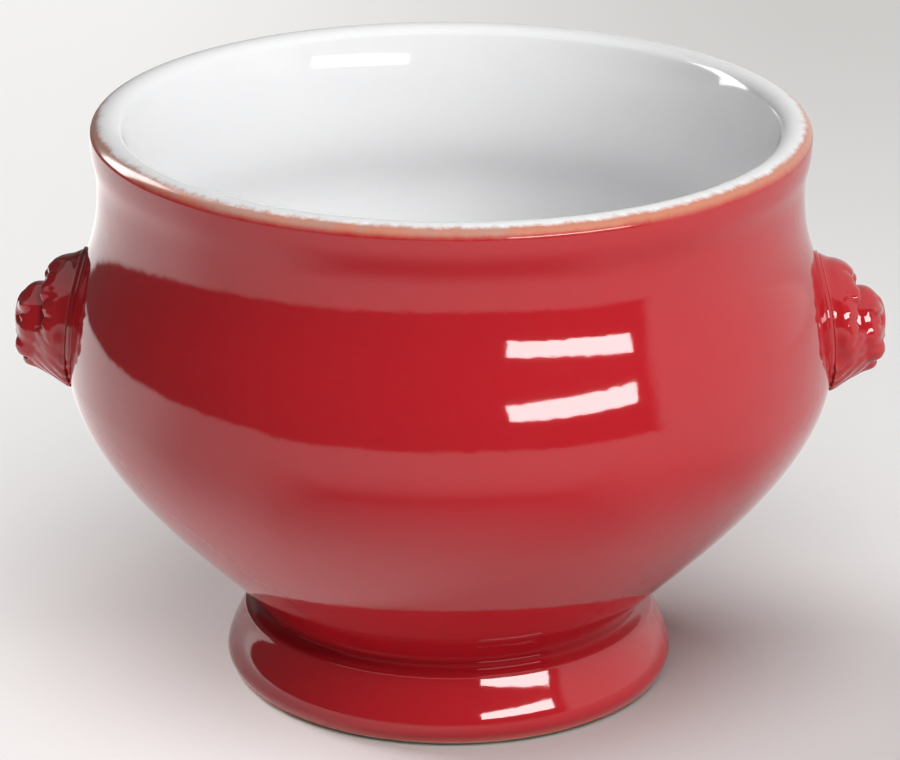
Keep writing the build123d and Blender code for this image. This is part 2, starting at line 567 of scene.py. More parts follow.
@dataclass(frozen=True)
class CrockProfile:
    """Sizes of the turned shape in millimetres, as in the solids; the liner's pooled glaze is added here."""

    height: float = 98.0
    lip_radius: float = 60.0
    lip_drop: float = 2.1
    throat_radius: float = 59.0
    throat_height: float = 86.9
    belly_radius: float = 64.4
    belly_height: float = 56.0
    waist_radius: float = 32.8
    waist_height: float = 12.7
    ledge_radius: float = 35.3
    ledge_height: float = 11.2
    foot_radius: float = 38.2
    foot_edge_height: float = 3.2
    shoulder_low: float = 17.4
    shoulder_high: float = 14.2
    neck_low: float = 4.5
    neck_high: float = 4.9
    belly_under: float = 16.6
    waist_up: float = 4.4
    waist_lean: float = 0.7
    ledge_ease: Span = (1.0, 0.9)
    ledge_turn: float = 0.9
    band_lean: float = 0.32
    band_fall: float = 2.8
    foot_crown: float = 2.2
    wall: float = 5.3
    rim_wall: float = 5.4
    floor_thick: float = 5.2
    floor_flat: float = 29.0
    floor_rise: float = 20.0
    glaze: float = 0.4
    offset_lift: float = 0.7
    bare_height: float = 0.9
    glaze_stop_in: float = 0.8
    pool_start: float = 13.4
    pool_fall: float = 4.2
    pool_level: float = 84.25
    pool_depth: float = 0.75
    pool_end: float = 60.0

    def shoulder(self, depth: float) -> list[Span]:
        """Control points of the shoulder from the belly up to the throat.

        Args:
            depth: How far under the glazed surface.

        Returns:
            Radius and level of the four points.
        """
        belly = (self.belly_radius - depth, self.belly_height)
        throat = (self.throat_radius - depth, self.throat_height)
        return [belly, lifted(belly, self.shoulder_low), lifted(throat, -self.shoulder_high), throat]

    def outside(self, depth: float, fine: int) -> np.ndarray:
        """Outside of the bowl from the waist up to the lip.

        Args:
            depth: How far under the glazed surface.
            fine: Samples along the underside; the other runs have a share of that.

        Returns:
            Radius and level of each sample.
        """
        lift = self.offset_lift * depth
        waist = (self.waist_radius - depth, self.waist_height)
        lip = (self.lip_radius - depth, self.height - self.lip_drop)
        shoulder = self.shoulder(depth)
        belly, throat = shoulder[0], shoulder[-1]
        lean = lifted(waist, self.waist_up + lift, self.waist_lean)
        under = [waist, lean, lifted(belly, lift - self.belly_under), belly]
        neck = [throat, lifted(throat, self.neck_low), lifted(lip, -self.neck_high), lip]
        return chain(bezier(under, fine), bezier(shoulder, fine * 2 // 3), bezier(neck, fine // 3))

    def rim(self, depth: float, fine: int) -> np.ndarray:
        """Rolled rim from the outer lip over the top to the inner lip.

        Args:
            depth: How far under the glazed surface.
            fine: Samples along it.

        Returns:
            Radius and level of each sample.
        """
        turn = np.linspace(0.0, math.pi, fine)
        middle = self.lip_radius - self.rim_wall / 2
        radius = middle + (self.rim_wall / 2 - depth) * np.cos(turn)
        level = self.height - self.lip_drop + (self.lip_drop - depth) * np.sin(turn)
        return np.stack([radius, level], 1)

    def inside(self, depth: float, fine: int) -> np.ndarray:
        """Inside of the bowl from the inner lip down to the middle of the floor.

        Args:
            depth: How far under the glazed surface.
            fine: Samples along the bottom; the other runs have a share of that.

        Returns:
            Radius and level of each sample.
        """
        lip = (self.lip_radius - self.rim_wall + depth, self.height - self.lip_drop)
        throat = (self.throat_radius - self.wall + depth, self.throat_height - self.wall / 2)
        belly = (self.belly_radius - self.wall + depth, self.belly_height)
        floor = (0.0, self.waist_height + self.floor_thick - depth)
        neck = [lip, lifted(lip, -self.neck_high), lifted(throat, self.neck_low), throat]
        shoulder = [throat, lifted(throat, -self.shoulder_high), lifted(belly, self.shoulder_low), belly]
        bottom = [belly, lifted(belly, -self.floor_rise), lifted(floor, 0.0, self.floor_flat), floor]
        return chain(bezier(neck, fine // 3), bezier(shoulder, fine * 2 // 3), bezier(bottom, fine))

    def pooled(self, fine: int) -> np.ndarray:
        """Glazed face of the liner: over the rim, a gentle roll under the inner lip, and down to the floor.

        Args:
            fine: Samples along the bottom; the other runs have a share of that.

        Returns:
            Radius and level of each sample.
        """
        # The rim is sampled at half degrees, of which every tenth is kept
        half_degrees = 360
        rim = self.rim(0.0, half_degrees + 1)
        leave = half_degrees - round(self.pool_start * 2.0)
        start, lean = rim[leave], rim[leave + 1] - rim[leave]
        fall = start + lean / abs(lean[1]) * self.pool_fall
        end = (self.throat_radius - self.wall - self.pool_depth, self.pool_level)
        roll = bezier([tuple(start), tuple(fall), lifted(end, self.pool_fall), end], fine // 2)
        wall = self.inside(0.0, fine)
        low = wall[wall[:, 1] < self.pool_level]
        share = smoothstep((low[:, 1] - self.pool_end) / (self.pool_level - self.pool_end))
        low = low - np.outer(share, (self.pool_depth, 0.0))
        return np.concatenate([rim[0:leave:10], roll, low])

    def foot_side(self, depth: float, fine: int) -> np.ndarray:
        """Outside of the foot from the waist down to where the glaze stops.

        Args:
            depth: How far under the glazed surface.
            fine: Sets how many samples each run has.

        Returns:
            Radius and level of each sample.
        """
        waist = (self.waist_radius - depth, self.waist_height)
        brim = (self.ledge_radius - depth, self.ledge_height - self.offset_lift * depth)
        edge = (self.foot_radius - depth, self.foot_edge_height)
        stop = (self.foot_radius - self.glaze_stop_in - depth, self.bare_height)
        ledge = [
            waist,
            lifted(waist, -self.ledge_ease[1], self.ledge_ease[0]),
            lifted(brim, self.ledge_turn, -self.band_lean * self.ledge_turn),
            brim,
        ]
        fall = lifted(brim, -self.band_fall, self.band_lean * self.band_fall)
        band = [brim, fall, lifted(edge, self.foot_crown), edge]
        tuck = [edge, lifted(edge, -self.foot_edge_height / 3), lifted(stop, self.bare_height / 2), stop]
        return chain(bezier(ledge, fine // 2), bezier(band, fine * 2 // 3), bezier(tuck, fine // 3))

    def wall_at(self, level: np.ndarray) -> np.ndarray:
        """Radius of the glazed outside at some levels."""
        run = self.outside(0.0, fine=240)
        return np.interp(level, run[:, 1], run[:, 0])


def add_object(name: str, data: bpy.types.ID) -> bpy.types.Object:
    """Adds an object to the scene.

    Args:
        name: The object's name.
        data: Its mesh, light or camera.

    Returns:
        The object, at the origin.
    """
    obj = bpy.data.objects.new(name, data)
    bpy.context.scene.collection.objects.link(obj)
    return obj


def carry(mesh: bpy.types.Mesh, name: str, values: np.ndarray) -> None:
    """Stores a value at each point of a mesh."""
    data = mesh.attributes.new(name, "FLOAT", "POINT").data
    data.foreach_set("value", values.reshape(-1).astype(np.float32))


def wear(obj: bpy.types.Object, slot: str, *nodes: str) -> bpy.types.Object:
    """Ties a finished piece to the frame.

    Args:
        obj: The piece, in place.
        slot: The record's material slot; not used.
        nodes: The nodes that the piece stands for.

    Returns:
        The piece.
    """
    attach(obj, ROOT)
    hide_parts(*nodes)
    LOG.info("%s: %d faces", obj.name, len(obj.data.polygons))
    return obj


def plain(obj: bpy.types.Object) -> bpy.types.Object:
    """Turns an object's modifier result into a plain mesh of its own.

    Args:
        obj: The object with its modifiers.

    Returns:
        The same object, with no modifiers left.
    """
    solved = obj.evaluated_get(bpy.context.evaluated_depsgraph_get())
    result = bpy.data.meshes.new_from_object(solved)
    obj.modifiers.clear()
    obj.data = result
    return obj


class GeometryTree(Graph):
    """A Geometry Nodes tree with named inputs, run on one object as a modifier."""

    def __init__(self, name: str) -> None:
        """Starts a tree with a geometry input and output.

        Args:
            name: The tree's name.
        """
        super().__init__(bpy.data.node_groups.new(name, "GeometryNodeTree"))
        self.ids: dict[str, str] = {}
        self.add_socket("Geometry", "NodeSocketGeometry")
        self.tree.interface.new_socket("Geometry", in_out="OUTPUT", socket_type="NodeSocketGeometry")
        self.start = self.tree.nodes.new("NodeGroupInput")

    def add_socket(self, name: str, kind: str) -> None:
        """Adds a named input."""
        self.ids[name] = self.tree.interface.new_socket(name, in_out="INPUT", socket_type=kind).identifier

    def inlet(self, name: str, kind: str = "NodeSocketFloat") -> Wire:
        """Gives a named input, adding it the first time.

        Args:
            name: The input's name.
            kind: Its socket's type.

        Returns:
            The input as a wire.
        """
        if name not in self.ids:
            self.add_socket(name, kind)
        return Wire(self, self.find(self.start.outputs, self.ids[name]))

    def sheet(self, around: Wire, rows: Wire) -> tuple[Wire, Wire, Wire]:
        """Makes a flat grid that is to be bent into shape.

        Args:
            around: Steps round the shape.
            rows: Rows of points along it.

        Returns:
            The grid, and each point's share of the way round and along, from 0 to 1.
        """
        size = {"Size X": 1.0, "Size Y": 1.0, "Vertices X": around + 1.0, "Vertices Y": rows}
        grid = self.node("GeometryNodeMeshGrid", None, size)
        across, along, _ = self.split(self.node("GeometryNodeInputPosition"))
        return grid, across + 0.5, along + 0.5

    def weld(self, mesh: Wire) -> Wire:
        """Merges points that lie on each other."""
        return self.node("GeometryNodeMergeByDistance", None, {"Geometry": mesh, "Distance": WELD})

    def laid(self, mesh: Wire, spot: Wire) -> Wire:
        """Moves each point to its spot and shuts the seams."""
        return self.weld(self.node("GeometryNodeSetPosition", None, {"Geometry": mesh, "Position": spot}))

    def smooth(self, mesh: Wire) -> Wire:
        """Shades a mesh smooth."""
        return self.node("GeometryNodeSetShadeSmooth", None, {"Geometry": mesh, "Shade Smooth": True})

    def finish(self, mesh: Wire) -> None:
        """Ends the tree in Realize Instances and Set Material.

        Args:
            mesh: What the tree has made.
        """
        real = self.node("GeometryNodeRealizeInstances", None, {"Geometry": mesh})
        coat = self.inlet("Finish", "NodeSocketMaterial")
        done = self.node("GeometryNodeSetMaterial", None, {"Geometry": real, "Material": coat})
        self.node("NodeGroupOutput", None, {0: done})

    def run(self, obj: bpy.types.Object, values: dict) -> bpy.types.Object:
        """Runs the tree on an object and leaves a plain mesh.

        Args:
            obj: The object that carries the input geometry.
            values: Values by input name.

        Returns:
            The object with its new mesh.
        """
        modifier = obj.modifiers.new(self.tree.name, "NODES")
        modifier.node_group = self.tree
        for name, value in values.items():
            modifier[self.ids[name]] = value
        return plain(obj)


class TurningTree(GeometryTree):
    """Turns a closed row of profile points about the upright axis."""

    SHARP = math.radians(50.0)

    def __init__(self) -> None:
        """Builds the tree."""
        super().__init__("turned_coat")
        profile = self.inlet("Geometry")
        around = self.inlet("Around", "NodeSocketInt")
        sharp = self.inlet("Sharp Angle")
        rows = self.node("GeometryNodeAttributeDomainSize", {"component": "MESH"}, {0: profile})
        grid, turn, along = self.sheet(around, rows)
        sample = {
            "Geometry": profile,
            "Value": self.node("GeometryNodeInputPosition"),
            "Index": (along * (rows - 1.0)).math("ROUND"),
        }
        kind = {"data_type": "FLOAT_VECTOR", "domain": "POINT"}
        radius, _, level = self.split(self.node("GeometryNodeSampleIndex", kind, sample))
        angle = turn * (2.0 * math.pi)
        spot = self.joined(radius * angle.math("COSINE"), radius * angle.math("SINE"), level)
        loose = self.node("GeometryNodeInputMeshEdgeNeighbors").math("LESS_THAN", 0.5)
        spare = {"Geometry": self.laid(grid, spot), "Selection": loose}
        clean = self.node("GeometryNodeDeleteGeometry", {"domain": "EDGE"}, spare)
        crease = self.node("GeometryNodeInputMeshEdgeAngle").math("GREATER_THAN", sharp)
        creased = {"Geometry": self.smooth(clean), "Selection": crease, "Shade Smooth": False}
        self.finish(self.node("GeometryNodeSetShadeSmooth", {"domain": "EDGE"}, creased))

    def turn(self, name: str, rows: np.ndarray, around: int, finish: bpy.types.Material) -> bpy.types.Object:
        """Turns one closed profile.

        Args:
            name: The piece's name.
            rows: Radius and level of each profile point, in millimetres, up the outside first.
            around: Steps round the axis.
            finish: Its material.

        Returns:
            The turned piece.
        """
        loop = np.concatenate([rows, rows[:1]]) * MM
        mesh = bpy.data.meshes.new(name)
        mesh.from_pydata([(r, 0.0, z) for r, z in loop], [], [])
        values = {"Around": around, "Sharp Angle": self.SHARP, "Finish": finish}
        return self.run(add_object(name, mesh), values)


@dataclass
class Bowl:
    """The bowl: its white liner and its red outer coat over the clay wall."""

    profile: CrockProfile
    tree: TurningTree
    around: int = 288
    fine: int = 66

    def build_coat(self, red: bpy.types.Material) -> bpy.types.Object:
        """Makes the red coat from the waist to the lip.

        Args:
            red: Its glaze.

        Returns:
            The coat.
        """
        face = self.profile.outside(0.0, self.fine)
        back = self.profile.outside(self.profile.glaze, self.fine // 2)[::-1]
        piece = self.tree.turn("bowl_red_coat", np.concatenate([face, back]), self.around, red)
        return wear(piece, "red_glaze", "outer_red_glaze")

    def build_liner(self, white: bpy.types.Material) -> bpy.types.Object:
        """Makes the white liner over the rim and down to the floor.

        Args:
            white: Its glaze.

        Returns:
            The liner.
        """
        face = self.profile.pooled(self.fine)
        depth = self.profile.glaze
        back = chain(self.profile.rim(depth, fine=16), self.profile.inside(depth, self.fine // 2))
        piece = self.tree.turn("bowl_white_liner", np.concatenate([face, back[::-1]]), self.around, white)
        return wear(piece, "white_glaze", "inner_white_glaze")


@dataclass
class Foot:
    """The flared foot: its red coat over the clay ring."""

    profile: CrockProfile
    tree: TurningTree
    around: int = 288
    fine: int = 36

    def build_coat(self, red: bpy.types.Material) -> bpy.types.Object:
        """Makes the red coat from the waist to the glaze line over the bare ring.

        Args:
            red: Its glaze.

        Returns:
            The coat.
        """
        face = self.profile.foot_side(0.0, self.fine)[::-1]
        back = self.profile.foot_side(self.profile.glaze, self.fine // 2)
        piece = self.tree.turn("foot_red_coat", np.concatenate([face, back]), self.around, red)
        return wear(piece, "red_glaze", "foot_red_glaze")


@dataclass(frozen=True)
class Lump:
    """One soft moulded form on a head, in millimetres: out from the wall, across and up."""

    place: Point
    half: Point
    tilt: float = 0.0
    paired: bool = False
    soft: float = 0.9


@dataclass(frozen=True)
class Strand:
    """A lock of hair on each side, thinning from its root to its tip, in millimetres."""

    root: Point
    tip: Point
    root_girth: float
    tip_girth: float
    soft: float = 0.7


class Clay:
    """A block of clay as distances on a grid, to which forms are added or taken away."""

    EMPTY = 50.0

    def __init__(self, low: Point, high: Point, step: float) -> None:
        """Starts an empty block.

        Args:
            low: Lowest corner, in millimetres.
            high: Highest corner.
            step: Spacing of the grid.
        """
        self.low = np.array(low, float)
        self.step = step
        counts = [int(math.ceil((b - a) / step)) + 1 for a, b in zip(low, high)]
        self.axes = [(self.low[i] + step * np.arange(counts[i])).astype(np.float32) for i in range(3)]
        self.far = np.full(counts, self.EMPTY, np.float32)

    def grid(self) -> tuple[np.ndarray, np.ndarray, np.ndarray]:
        """Gives the three coordinates, ready to spread over the grid."""
        return self.axes[0][:, None, None], self.axes[1][None, :, None], self.axes[2][None, None, :]

    def melt(self, other: np.ndarray, soft: float) -> None:
        """Adds a form given by its distances, melted in over a soft width."""
        mix = np.clip(soft - np.abs(self.far - other), 0.0, None)
        self.far = np.minimum(self.far, other) - mix**2 / (4.0 * soft)

    def scoop(self, other: np.ndarray, soft: float) -> None:
        """Takes away a form given by its distances, with softened edges."""
        mix = np.clip(soft - np.abs(self.far + other), 0.0, None)
        self.far = np.maximum(self.far, -other) + mix**2 / (4.0 * soft)

    def ellipsoid(self, centre: Point, half: Point, tilt: float) -> np.ndarray:
        """Distance to an ellipsoid.

        Args:
            centre: Its centre.
            half: Its half sizes.
            tilt: Its turn about the outward axis, in degrees.

        Returns:
            The distance at each place of the grid.
        """
        x, y, z = (g - c for g, c in zip(self.grid(), centre))
        c, s = math.cos(math.radians(tilt)), math.sin(math.radians(tilt))
        y, z = c * y + s * z, c * z - s * y
        squares = [x**2, y**2, z**2]
        near = np.sqrt(sum(q / h**2 for q, h in zip(squares, half))) + 1e-6
        grad = np.sqrt(sum(q / h**4 for q, h in zip(squares, half))) + 1e-6
        return near * (near - 1.0) / grad

    def taper(self, root: Point, tip: Point, root_girth: float, tip_girth: float) -> np.ndarray:
        """Distance to a round bar that thins from its root to its tip.

        Args:
            root: The middle of its thick end.
            tip: The middle of its thin end.
            root_girth: Its radius at the root.
            tip_girth: Its radius at the tip.

        Returns:
            The distance at each place of the grid.
        """
        run = [b - a for a, b in zip(root, tip)]
        parts = [g - a for g, a in zip(self.grid(), root)]
        share = np.clip(sum(q * r for q, r in zip(parts, run)) / sum(r * r for r in run), 0.0, 1.0)
        gap = np.sqrt(sum((q - share * r) ** 2 for q, r in zip(parts, run)))
        return gap - (root_girth + share * (tip_girth - root_girth))

    def soften(self, passes: int) -> None:
        """Rounds all edges as a thick glaze does.

        Args:
            passes: How often each place is mixed with its neighbours.
        """
        for _ in range(passes):
            for axis in range(3):
                ends = np.take(self.far, [0], axis), np.take(self.far, [-1], axis)
                wide = np.concatenate([ends[0], self.far, ends[1]], axis)
                n = self.far.shape[axis]
                before, after = np.take(wide, range(n), axis), np.take(wide, range(2, n + 2), axis)
                self.far = 0.5 * self.far + 0.25 * (before + after)

    def skin(self) -> tuple[np.ndarray, np.ndarray]:
        """Nets the surface where the distance is zero.

        Returns:
            Points in millimetres and four-sided faces that point outwards.
        """
        inside = self.far < 0
        points, index = self.net_points(inside)
        return points, self.net_faces(inside, index)

    @staticmethod
    def steps(axis: int, rest: slice) -> tuple[tuple, tuple]:
        """Cuts that pair each place of the grid with the next one along an axis.

        Args:
            axis: Which axis.
            rest: The cut along the other two.

        Returns:
            The cut for the nearer places and the one for the next.
        """
        near, away = [rest] * 3, [rest] * 3
        near[axis], away[axis] = slice(0, -1), slice(1, None)
        return tuple(near), tuple(away)

    def net_points(self, inside: np.ndarray) -> tuple[np.ndarray, np.ndarray]:
        """Puts a point in each cell that the surface crosses, in the middle of the crossings.

        Args:
            inside: Which places of the grid are in the clay.

        Returns:
            The points in millimetres, and the number of each cell's point.
        """
        shape = np.array(self.far.shape)
        total = np.zeros([*(shape - 1), 3], np.float32)
        count = np.zeros(shape - 1, np.float32)
        for axis in range(3):
            near, away = self.steps(axis, slice(None))
            a, b = self.far[near], self.far[away]
            cross = (inside[near] != inside[away]).astype(np.float32)
            share = np.where(cross > 0, a / np.where(np.abs(a - b) < 1e-9, 1.0, a - b), 0.0)
            first, second = [i for i in range(3) if i != axis]
            for p, q in ((0, 0), (0, 1), (1, 0), (1, 1)):
                cut = [slice(None)] * 3
                cut[first] = slice(p, p + shape[first] - 1)
                cut[second] = slice(q, q + shape[second] - 1)
                c, s = cross[tuple(cut)], share[tuple(cut)]
                count += c
                total[..., axis] += c * s
                total[..., first] += c * p
                total[..., second] += c * q
        live = count > 0
        index = np.full(shape - 1, -1, np.int64)
        index[live] = np.arange(int(live.sum()))
        middle = total[live] / count[live][:, None]
        return self.low + self.step * (np.argwhere(live) + middle), index

    def net_faces(self, inside: np.ndarray, index: np.ndarray) -> np.ndarray:
        """Joins the points of the four cells round each crossing.

        Args:
            inside: Which places of the grid are in the clay.
            index: The number of each cell's point.

        Returns:
            Four-sided faces that point outwards.
        """
        faces = []
        for axis in range(3):
            b, c = (axis + 1) % 3, (axis + 2) % 3
            near, away = self.steps(axis, slice(1, -1))
            first, second = inside[near], inside[away]
            spots = np.argwhere(first != second)
            enters = second[tuple(spots.T)]
            spots[:, [b, c]] += 1
            corners = []
            for db, dc in ((0, 0), (-1, 0), (-1, -1), (0, -1)):
                at = spots.copy()
                at[:, b] += db
                at[:, c] += dc
                corners.append(index[tuple(at.T)])
            quad = np.stack(corners, 1)
            faces.append(np.where(enters[:, None], quad[:, ::-1], quad))
        return np.concatenate(faces)


@dataclass
class LionHead:
    """A moulded lion head luted to the shoulder, in millimetres."""

    profile: CrockProfile
    along: float = 0.195
    step: float = 0.1585
    block_edge: float = 1.2
    block_out: float = 10.4
    slip_lift: float = 0.6
    half_width: float = 8.0
    half_height: float = 12.0
    dome_out: float = 4.6
    dome_soft: float = 0.4
    collar_out: float = 2.6
    collar_girth: float = 2.2
    collar_half_width: float = 5.8
    collar_half_height: float = 8.9
    collar_soft: float = 0.9
    thin_from: float = -2.0
    thin_run: float = 6.0
    locks: int = 13
    lock_depth: float = 0.9
    lock_sweep: float = 0.14
    lock_wander: float = 0.12
    wander_waves: float = 5.0
    wander_slant: float = 0.8
    front_from: float = 0.2
    front_run: float = 1.8
    broad_share: float = 0.7
    broad_power: float = 0.6
    fine_share: float = 0.3
    fine_power: float = 0.7
    crease_out: float = 4.9
    crease_girth: float = 0.45
    crease_half_width: float = 5.0
    crease_half_height: float = 6.8
    crease_flat: float = 0.45
    crease_from: float = -1.5
    crease_run: float = 3.0
    crease_soft: float = 0.4
    glaze_passes: int = 5
    relief_reach: int = 14
    relief_depth: float = 0.30
    relief_blur: int = 3
    follow_from: float = 2.5
    follow_to: float = 7.5
    # Skull, ears, cheeks, muzzle pads, nose bridge, brows, nose and chin
    lumps: tuple[Lump, ...] = (
        Lump((4.6, 0.0, -0.9), (4.75, 4.9, 7.5), 0.0, False, 0.5),
        Lump((4.5, 4.1, 5.8), (0.95, 1.5, 1.5), 0.0, True, 0.6),
        Lump((6.2, 3.0, -1.2), (2.0, 1.8, 2.2), 0.0, True, 1.2),
        Lump((6.7, 1.8, -4.3), (2.75, 2.4, 2.25), 0.0, True, 0.7),
        Lump((7.7, 0.0, 0.6), (1.55, 1.5, 3.9), 0.0, False, 0.6),
        Lump((7.2, 2.1, 2.9), (1.35, 2.0, 0.95), 16.0, True, 0.8),
        Lump((8.35, 0.0, -2.4), (1.1, 1.9, 0.9), 0.0, False, 0.3),
        Lump((6.4, 0.0, -7.2), (1.9, 2.2, 1.4), 0.0, False, 0.6),
    )
    # Locks that hang from beside the face round to under the chin
    strands: tuple[Strand, ...] = (
        Strand((4.4, 4.9, -0.8), (0.9, 6.6, -5.8), 1.3, 0.8),
        Strand((4.5, 4.5, -3.0), (0.8, 5.9, -8.0), 1.3, 0.8),
        Strand((4.6, 3.7, -5.0), (0.8, 4.6, -9.6), 1.35, 0.8),
        Strand((4.8, 2.5, -6.4), (0.8, 3.0, -10.7), 1.4, 0.8),
        Strand((5.2, 0.9, -7.4), (0.8, 1.1, -11.2), 1.4, 0.8),
    )
    # Eye sockets, nostrils, groove under the nose, mouth, ear hollows and whisker pits
    hollows: tuple[Lump, ...] = (
        Lump((9.0, 2.7, 1.0), (1.5, 1.5, 1.0), 12.0, True, 0.5),
        Lump((9.3, 1.1, -3.0), (0.45, 0.5, 0.35), 25.0, True, 0.3),
        Lump((9.9, 0.0, -4.4), (1.0, 0.3, 1.3), 0.0, False, 0.3),
        Lump((8.8, 1.6, -6.3), (1.7, 2.1, 0.4), -8.0, True, 0.35),
        Lump((5.5, 4.15, 5.8), (0.6, 0.8, 0.85), 0.0, True, 0.4),
        Lump((9.5, 1.5, -4.3), (0.35, 0.22, 0.22), 0.0, True, 0.2),
        Lump((9.4, 2.3, -4.0), (0.35, 0.22, 0.22), 0.0, True, 0.2),
        Lump((9.2, 2.4, -4.9), (0.4, 0.22, 0.22), 0.0, True, 0.2),
    )
    eyes: tuple[Lump, ...] = (Lump((7.55, 2.6, 0.95), (0.95, 1.05, 0.6), 12.0, True, 0.2),)

    def anchor(self) -> Span:
        """Radius and level of the place on the shoulder that carries the head.

        Returns:
            Both in millimetres.
        """
        curve = bezier(self.profile.shoulder(0.0), count=4001)
        length = np.concatenate([[0.0], np.cumsum(np.linalg.norm(np.diff(curve, axis=0), axis=1))])
        share = np.interp(self.along * length[-1], length, np.arange(len(curve)))
        return tuple(curve[int(round(share))])

    @staticmethod
    def press(clay: Clay, work: Callable[[np.ndarray, float], None], lump: Lump) -> None:
        """Adds or carves one form, on both sides if it is paired.

        Args:
            clay: The block that is worked on.
            work: What is done with the form.
            lump: The form.
        """
        for side in (1, -1) if lump.paired else (1,):
            centre = (lump.place[0], side * lump.place[1], lump.place[2])
            work(clay.ellipsoid(centre, lump.half, side * lump.tilt), lump.soft)

    @staticmethod
    def oval(clay: Clay, wide: float, tall: float) -> tuple[np.ndarray, np.ndarray]:
        """Measures places round an oval on the face.

        Args:
            clay: The block that it is measured on.
            wide: The oval's half width.
            tall: The oval's half height.

        Returns:
            The turn from the top, and the distance from the oval, at each place of the grid.
        """
        _, across, up = clay.grid()
        turn = np.arctan2(across, up)
        ring = np.sqrt((across / wide) ** 2 + (up / tall) ** 2)
        reach = 1.0 / np.sqrt((np.sin(turn) / wide) ** 2 + (np.cos(turn) / tall) ** 2)
        return turn, (ring - 1.0) * reach

    def mane(self, clay: Clay) -> np.ndarray:
        """Thick collar of hair: smooth on its flank, parted into drooping locks in front and below.

        Args:
            clay: The block that it is measured on.

        Returns:
            The distance to it at each place of the grid.
        """
        out, _, up = clay.grid()
        turn, aside = self.oval(clay, self.collar_half_width, self.collar_half_height)
        turn = np.abs(turn)
        beat = self.locks * turn / (2 * math.pi) - self.lock_sweep * np.sin(turn) * aside
        beat = beat + self.lock_wander * np.sin(self.wander_waves * turn + self.wander_slant * aside)
        broad = self.broad_share * np.abs(np.cos(math.pi * beat)) ** self.broad_power
        fine = self.fine_share * np.abs(np.cos(3 * math.pi * beat)) ** self.fine_power
        front = np.clip((out - self.collar_out - self.front_from) / self.front_run, 0.0, 1.0)
        girth = self.collar_girth - self.lock_depth * front * (1.0 - broad - fine)
        girth = girth - np.clip((self.thin_from - up) / self.thin_run, 0.0, 1.0)
        return np.hypot(aside, out - self.collar_out) - girth

    def crease(self, clay: Clay) -> np.ndarray:
        """Deep crease over the face, between it and the collar, that runs out half-way down.

        Args:
            clay: The block that it is measured on.

        Returns:
            The distance to it at each place of the grid.
        """
        out, _, up = clay.grid()
        _, aside = self.oval(clay, self.crease_half_width, self.crease_half_height)
        girth = self.crease_girth * np.clip((up - self.crease_from) / self.crease_run, 0.0, 1.0)
        return np.hypot(aside, self.crease_flat * (out - self.crease_out)) - girth

    def model(self) -> tuple[np.ndarray, np.ndarray, np.ndarray]:
        """Models the right-hand head and bends it on to the wall.

        Returns:
            Points in millimetres, faces, and the relief of each point, above 0 on ridges.
        """
        across, up = self.half_width + self.block_edge, self.half_height + self.block_edge
        clay = Clay((self.slip_lift - 3 * self.step, -across, -up), (self.block_out, across, up), self.step)
        dome = (self.dome_out, self.half_width, self.half_height)
        clay.melt(clay.ellipsoid((0.0, 0.0, 0.0), dome, 0.0), self.dome_soft)
        clay.melt(self.mane(clay), self.collar_soft)
        for lump in self.lumps:
            self.press(clay, clay.melt, lump)
        for lock in self.strands:
            for side in (1, -1):
                ends = [(p[0], side * p[1], p[2]) for p in (lock.root, lock.tip)]
                clay.melt(clay.taper(*ends, lock.root_girth, lock.tip_girth), lock.soft)
        clay.scoop(self.crease(clay), self.crease_soft)
        for hollow in self.hollows:
            self.press(clay, clay.scoop, hollow)
        for eye in self.eyes:
            self.press(clay, clay.melt, eye)
        clay.soften(self.glaze_passes)
        clay.far = np.maximum(clay.far, self.slip_lift - clay.grid()[0])
        flat, faces = clay.skin()
        return self.bend(flat), faces, self.relief(flat, faces)

    def bend(self, flat: np.ndarray) -> np.ndarray:
        """Lays the back of the flat head on the round wall and leaves the face straight.

        Args:
            flat: Points as out, across and up.

        Returns:
            The points in the crock's frame.
        """
        radius, level = self.anchor()
        out, across, up = flat.T
        drop = np.sqrt(self.profile.wall_at(level + up) ** 2 - across**2) - radius
        share = smoothstep((self.follow_to - out) / (self.follow_to - self.follow_from))
        return np.stack([radius + out + drop * share, across, level + up], 1)

    def relief(self, points: np.ndarray, faces: np.ndarray) -> np.ndarray:
        """Measures how far each point stands out from its surroundings.

        Args:
            points: The points.
            faces: Four-sided faces.

        Returns:
            About 1 on sharp ridges and -1 in sharp hollows.
        """
        edges = np.concatenate([faces[:, [i, (i + 1) % 4]] for i in range(4)])
        ends = np.concatenate([edges, edges[:, ::-1]])
        count = np.bincount(ends[:, 0], minlength=len(points)).astype(float)[:, None]

        def around(values: np.ndarray) -> np.ndarray:
            """Mean of each point's neighbours."""
            total = np.stack([np.bincount(ends[:, 0], v[ends[:, 1]], len(points)) for v in values.T], 1)
            return total / np.maximum(count, 1.0)

        corners = points[faces]
        normal = np.cross(corners[:, 2] - corners[:, 0], corners[:, 3] - corners[:, 1])
        sums = np.zeros_like(points)
        for i in range(4):
            np.add.at(sums, faces[:, i], normal)
        sums /= np.linalg.norm(sums, axis=1)[:, None] + 1e-12
        soft = points.copy()
        for _ in range(self.relief_reach):
            soft = around(soft)
        out = ((points - soft) * sums).sum(1)[:, None] / self.relief_depth
        for _ in range(self.relief_blur):
            out = around(out)
        return np.clip(out[:, 0], -1.0, 1.0)

